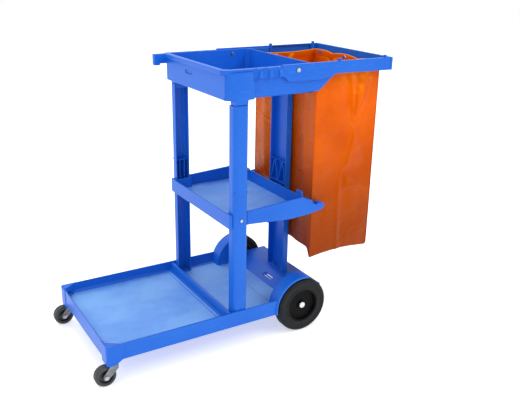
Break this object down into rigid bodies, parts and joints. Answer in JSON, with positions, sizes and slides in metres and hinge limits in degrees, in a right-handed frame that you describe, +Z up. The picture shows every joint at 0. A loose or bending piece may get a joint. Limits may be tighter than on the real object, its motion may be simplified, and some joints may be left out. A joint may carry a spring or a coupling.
{
  "type": "housekeeping cart",
  "caption": "Moulded housekeeping cart with low platform, shelf, top tray and a hanging bag on a rear frame, on rear wheels and front swivel casters.",
  "frame": {"origin": "on the floor, under the middle of the cart's bounding box", "axes": "+X from the swivel casters to the bag, +Y to the side that carries the pole hook, +Z up"},
  "size_m": [1.14, 0.51, 0.98],
  "materials": {
    "blue_plastic": "injection-moulded polypropylene, satin with a fine grain",
    "bag_vinyl": "glossy vinyl-coated cloth",
    "eyelet_metal": "pressed bright eyelet",
    "tyre_rubber": "solid tyre, dull",
    "black_plastic": "moulded, satin",
    "bush_plastic": "natural nylon",
    "bright_metal": "domed push-on cap",
    "grey_rubber": "non-marking grey tread",
    "caster_plastic": "moulded",
    "fork_steel": "zinc-plated pressed steel",
    "screw_steel": "zinc plated"
  },
  "bodies": {
    "frame": {"deck": "blue_plastic", "front_column_left": "blue_plastic", "front_column_right": "blue_plastic", "rear_column": "blue_plastic", "middle_shelf": "blue_plastic", "top_tray": "blue_plastic", "bag_arm_left": "blue_plastic", "bag_arm_right": "blue_plastic", "bag_crossbar": "blue_plastic", "bag": "bag_vinyl", "bag_eyelets": "eyelet_metal", "bag_hooks": "blue_plastic", "corner_pins": "blue_plastic", "rear_axle": "screw_steel", "column_foot_screws": "screw_steel", "shelf_screws": "screw_steel", "rear_shelf_bolt": "screw_steel", "rear_column_screws": "screw_steel", "arm_bolts": "screw_steel", "arm_nuts": "screw_steel", "crossbar_screws": "screw_steel", "axle_cap_left": "bright_metal", "axle_spacer_left": "bush_plastic", "caster_stem_left": "fork_steel", "caster_race_left": "fork_steel", "axle_cap_right": "bright_metal", "axle_spacer_right": "bush_plastic", "caster_stem_right": "fork_steel", "caster_race_right": "fork_steel"},
    "rear_wheel_left": {"tyre_left": "tyre_rubber", "wheel_hub_left": "black_plastic", "wheel_bush_left": "bush_plastic"},
    "caster_fork_left": {"caster_fork_left": "fork_steel", "caster_bolt_left": "screw_steel", "caster_nut_left": "screw_steel"},
    "caster_wheel_left": {"caster_tread_left": "grey_rubber", "caster_hub_left": "caster_plastic", "caster_bush_left": "bush_plastic"},
    "rear_wheel_right": {"tyre_right": "tyre_rubber", "wheel_hub_right": "black_plastic", "wheel_bush_right": "bush_plastic"},
    "caster_fork_right": {"caster_fork_right": "fork_steel", "caster_bolt_right": "screw_steel", "caster_nut_right": "screw_steel"},
    "caster_wheel_right": {"caster_tread_right": "grey_rubber", "caster_hub_right": "caster_plastic", "caster_bush_right": "bush_plastic"}
  },
  "joints": [
    {"name": "rear_wheel_left_spin", "type": "hinge", "parent": "frame", "child": "rear_wheel_left", "pos_m": [0.207, -0.2325, 0.1], "axis": [0, 1, 0], "continuous": true},
    {"name": "caster_left_swivel", "type": "hinge", "parent": "frame", "child": "caster_fork_left", "pos_m": [-0.507, -0.226, 0.07], "axis": [0, 0, 1], "continuous": true},
    {"name": "caster_wheel_left_spin", "type": "hinge", "parent": "caster_fork_left", "child": "caster_wheel_left", "pos_m": [-0.535, -0.226, 0.035], "axis": [0, 1, 0], "continuous": true},
    {"name": "rear_wheel_right_spin", "type": "hinge", "parent": "frame", "child": "rear_wheel_right", "pos_m": [0.207, 0.2325, 0.1], "axis": [0, 1, 0], "continuous": true},
    {"name": "caster_right_swivel", "type": "hinge", "parent": "frame", "child": "caster_fork_right", "pos_m": [-0.507, 0.226, 0.07], "axis": [0, 0, 1], "continuous": true},
    {"name": "caster_wheel_right_spin", "type": "hinge", "parent": "caster_fork_right", "child": "caster_wheel_right", "pos_m": [-0.535, 0.226, 0.035], "axis": [0, 1, 0], "continuous": true}
  ]
}
